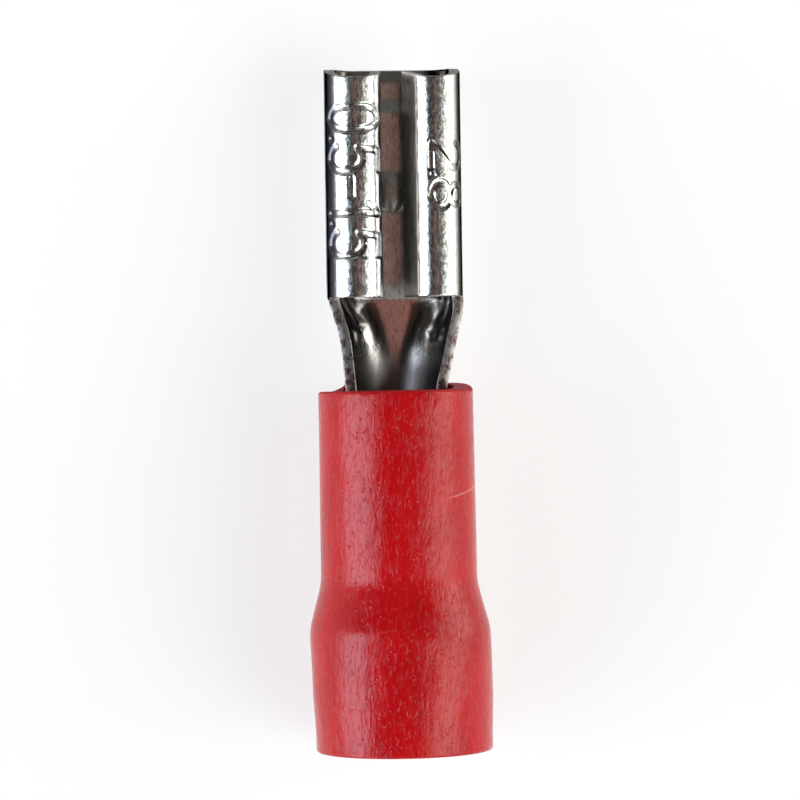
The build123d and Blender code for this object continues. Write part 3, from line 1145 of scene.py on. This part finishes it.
print("boxes turned by up to", round(skew * (askew_middle - askew_from), 2), "radians")

# %% [markdown]
# ## Dark ceiling and pale horizon
#
# Between the boxes the ceiling is dark, which gives the rolls their dark middle. It is
# nearly black beyond the nose, but for a dim strip straight above, and nearly black behind,
# but for a narrow stripe. A dim warm patch near the middle shows in the floor of the
# receptacle. Low down the ceiling gives way to a pale horizon.

# %% Paint the ceiling
ceiling = blend(tree, ramp(tree, round_y, 0.15, 0.75), (0.108, 0.110, 0.100), (0.155, 0.125, 0.125))
beyond_nose = ramp(tree, along_y, 0.08, 0.19)
ceiling = blend(tree, beyond_nose, ceiling, (0.028, 0.025, 0.022))
strip_above = between(round_y, (-0.26, -0.02, 0.22, 0.46))
ceiling = blend(tree, times(strip_above, beyond_nose), ceiling, (0.090, 0.100, 0.092))
patch_round, patch_along = (-0.26, 0.06, 0.14, 0.50), (-0.30, -0.08, 0.06, 0.42)
warm_patch = times(between(round_y, patch_round), between(along_y, patch_along))
ceiling = blend(tree, warm_patch, ceiling, (0.265, 0.118, 0.098))
off_stripe = reckon(tree, "SUBTRACT", 1.0, between(round_y, (-0.12, 0.04, 0.12, 0.30)))
behind = ramp(tree, along_y, 0.018, 0.036, 1.0, 0.0)
ceiling = blend(tree, times(off_stripe, behind), ceiling, (0.016, 0.014, 0.013))
horizon = ramp(tree, direction["Z"], 0.18, 0.50, 1.0, 0.0)
sky = blend(tree, horizon, ceiling, (0.80, 0.80, 0.80))
print("ceiling and horizon:", len(tree.nodes), "nodes")

# %% Hang the soft boxes
left_light = (5.40, 5.90, 6.80)
right_light = (4.75, 4.65, 4.45)
left_box = ((-1.95, -1.35), (-0.56, -0.46))
right_box = ((0.72, 1.16), (1.50, 1.75))
left_reach = (-0.95, -0.65, 0.10, 0.16)
right_reach = (-0.95, -0.65, 0.30, 0.50)
wider_to_left, wider_to_right = 0.17, -0.24
ahead = ramp(tree, along_y, 0.0, 0.04)
above_rolls = between(along_y, (0.0, 0.04, 0.10, 0.14))
to_left = reckon(tree, "MULTIPLY_ADD", ahead, wider_to_left, skewed)
to_right = reckon(tree, "MULTIPLY_ADD", above_rolls, wider_to_right, skewed)
left_soft = times(ramp(tree, skewed, *left_box[0]), ramp(tree, to_left, *left_box[1], 1.0, 0.0))
right_soft = times(ramp(tree, to_right, *right_box[0]), ramp(tree, skewed, *right_box[1], 1.0, 0.0))
sky = blend(tree, times(left_soft, between(along_y, left_reach)), sky, left_light)
sky = blend(tree, times(right_soft, between(along_y, right_reach)), sky, right_light)
background = put(tree, "Background", {"Color": sky, "Strength": 1.0})
put(tree, "OutputWorld", {"Surface": background.outputs[0]})
print("sky:", len(tree.nodes), "nodes")

# %% [markdown]
# ## Camera
#
# The photograph looks almost straight down on the terminal from close by, from a little
# to the left, with the nose of the terminal at the top of the picture and leaning left by
# one degree.

# %% Set the camera
aim = Vector((0.12, 0.23, 2.5)) * mm
distance = 95 * mm
lean_left = math.radians(6)
turned_by = math.radians(1.1)
back = Vector((-math.sin(lean_left), 0, math.cos(lean_left)))
level_right = Vector((0, 1, 0)).cross(back).normalized()
level_up = back.cross(level_right)
picture_right = level_right * math.cos(turned_by) - level_up * math.sin(turned_by)
picture_up = level_up * math.cos(turned_by) + level_right * math.sin(turned_by)
bpy.ops.object.camera_add()
camera = bpy.context.object
camera.name = "camera"
camera.matrix_world = Matrix.Translation(aim + back * distance) @ Matrix(
    (picture_right, picture_up, back)).transposed().to_4x4()
camera.data.sensor_width = 36.0
pixels_per_mm, picture_width = 36.0, 800
camera.data.lens = camera.data.sensor_width * distance / (picture_width / pixels_per_mm * mm)
camera.data.clip_start = 0.001
camera.data.clip_end = 10
bpy.context.scene.camera = camera
bpy.context.scene.view_settings.view_transform = "Standard"
print("lens", round(camera.data.lens, 1), "mm")

# %% [markdown]
# ## Compare the sizes and finish
#
# How far the finer pieces reach past the frame is printed for each side. The finer
# pieces must not outgrow the frame.

# %% Write the boxes and finish
new_low, new_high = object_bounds()
ends = zip([*cad_low, *cad_high], [*new_low, *new_high])
print("box grew by", [round((new - cad) / mm, 3) for cad, new in ends])
